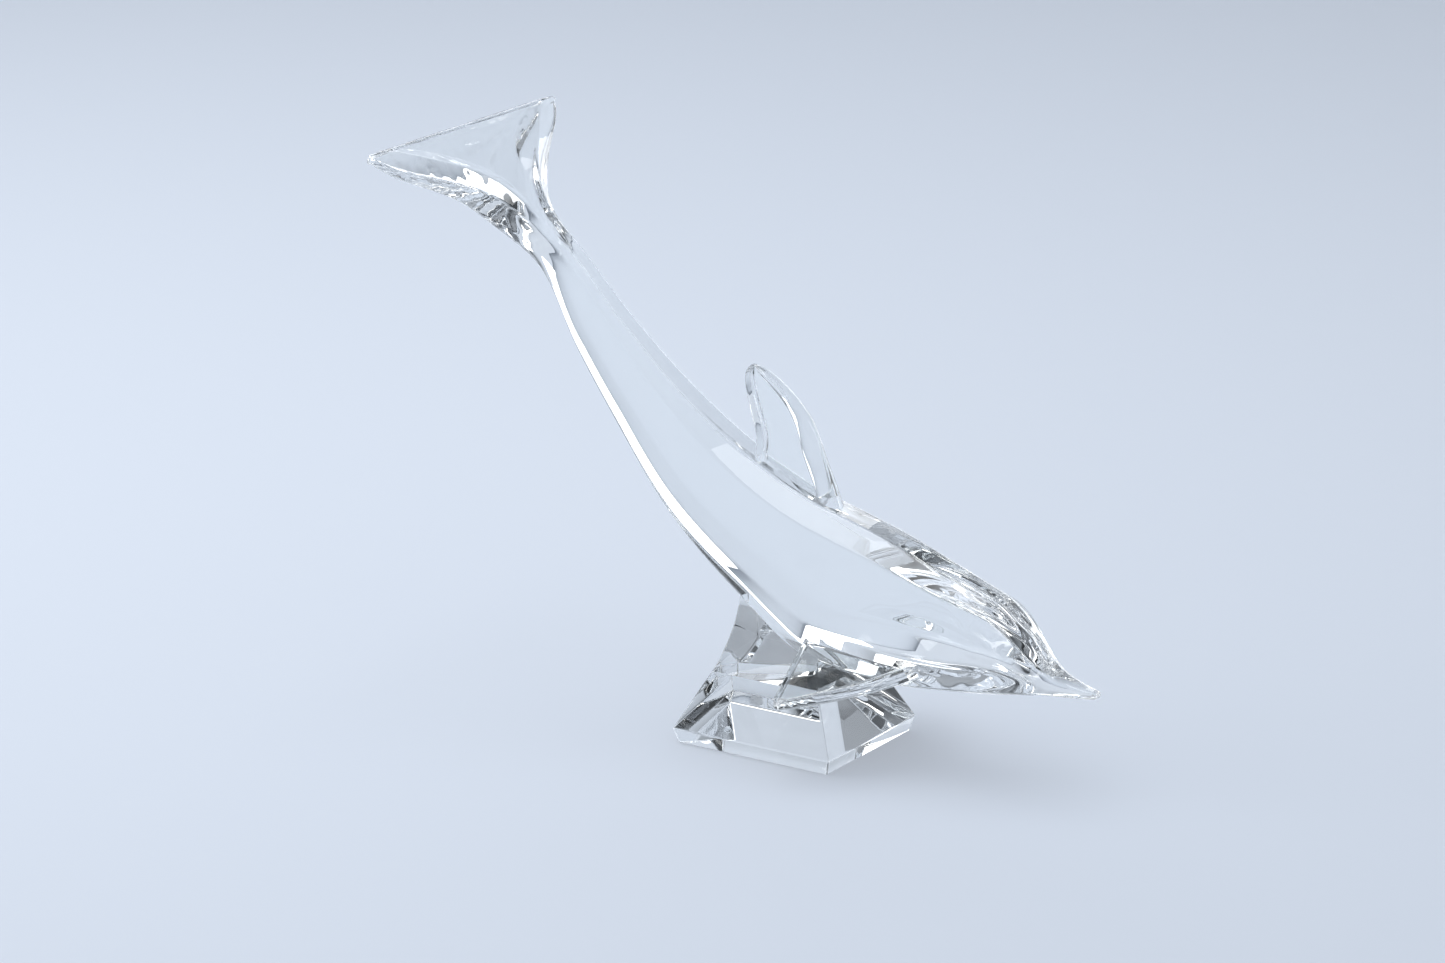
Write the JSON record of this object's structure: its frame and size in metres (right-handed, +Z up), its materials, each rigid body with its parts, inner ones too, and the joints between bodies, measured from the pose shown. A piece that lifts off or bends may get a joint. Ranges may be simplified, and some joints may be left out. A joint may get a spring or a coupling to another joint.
{
  "type": "crystal glass dolphin figurine",
  "caption": "Clear cut-crystal dolphin diving in a long curve, carried on a flared glass column and a low faceted foot; a free-standing ornament.",
  "frame": {"origin": "middle of the foot's flat underside, on the table", "axes": "+Z up from the table, +X the way the beak points, +Y the dolphin's left"},
  "size_m": [0.2469, 0.105, 0.1895],
  "materials": {
    "crystal": "colourless lead crystal, fire-polished and clear, with softly rounded cut edges"
  },
  "bodies": {
    "root": {"body": "crystal", "tail_flukes": "crystal", "dorsal_fin": "crystal", "right_pectoral_fin": "crystal", "left_pectoral_fin": "crystal", "pedestal": "crystal", "plinth": "crystal"}
  },
  "joints": []
}
